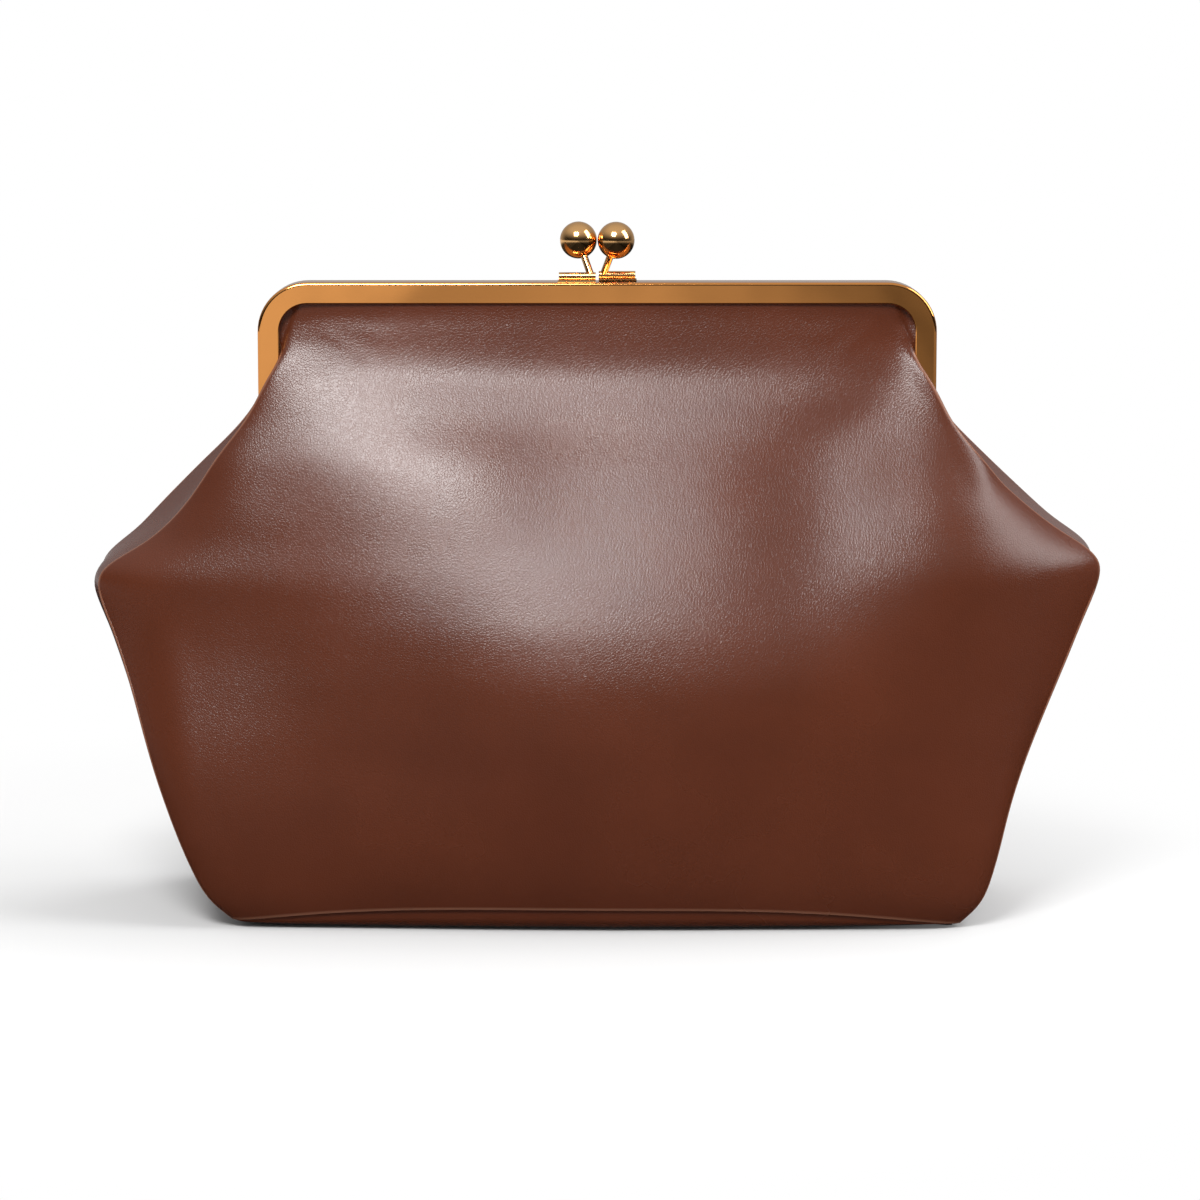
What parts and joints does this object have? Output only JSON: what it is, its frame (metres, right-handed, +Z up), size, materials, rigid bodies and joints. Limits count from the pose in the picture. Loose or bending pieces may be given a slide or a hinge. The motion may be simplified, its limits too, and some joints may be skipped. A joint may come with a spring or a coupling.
{
  "type": "kiss lock frame purse",
  "caption": "Soft leather pouch purse with folded side gussets on a hinged brass frame, snapped shut by a kiss lock of crossing ball studs.",
  "frame": {"origin": "on the floor under the middle of the flat base", "axes": "+X to the right seen from the front, -Y towards the front, +Z up"},
  "size_m": [0.324, 0.1096, 0.2243],
  "materials": {
    "brown_leather": "smooth, satin",
    "lining_cloth": "twill",
    "stiffener_board": "matte",
    "paper_cord": "matte",
    "frame_brass": "polished",
    "lock_brass": "polished",
    "rivet_brass": "polished"
  },
  "bodies": {
    "pouch": {"front_panel": "brown_leather", "back_panel": "brown_leather", "left_gusset": "brown_leather", "right_gusset": "brown_leather", "base_panel": "brown_leather", "base_board": "stiffener_board", "front_lining": "lining_cloth", "back_lining": "lining_cloth", "left_gusset_lining": "lining_cloth", "right_gusset_lining": "lining_cloth", "base_lining": "lining_cloth", "left_hinge_rivet": "rivet_brass", "right_hinge_rivet": "rivet_brass"},
    "front_half": {"front_frame": "frame_brass", "front_panel_top": "brown_leather", "front_lining_top": "lining_cloth", "front_channel_cord": "paper_cord", "front_lock_plate": "lock_brass", "front_lock_stem": "lock_brass", "front_lock_ball": "lock_brass"},
    "back_half": {"back_frame": "frame_brass", "back_panel_top": "brown_leather", "back_lining_top": "lining_cloth", "back_channel_cord": "paper_cord", "back_lock_plate": "lock_brass", "back_lock_stem": "lock_brass", "back_lock_ball": "lock_brass"}
  },
  "joints": [
    {"name": "front_half_swing", "type": "hinge", "parent": "pouch", "child": "front_half", "pos_m": [0, 0, 0.16], "axis": [1, 0, 0], "range_deg": [0, 45]},
    {"name": "back_half_swing", "type": "hinge", "parent": "pouch", "child": "back_half", "pos_m": [0, 0, 0.16], "axis": [1, 0, 0], "range_deg": [-45, 0]}
  ],
  "couplings": [
    {"joint": "back_half_swing", "follows": "front_half_swing", "ratio": -1}
  ]
}
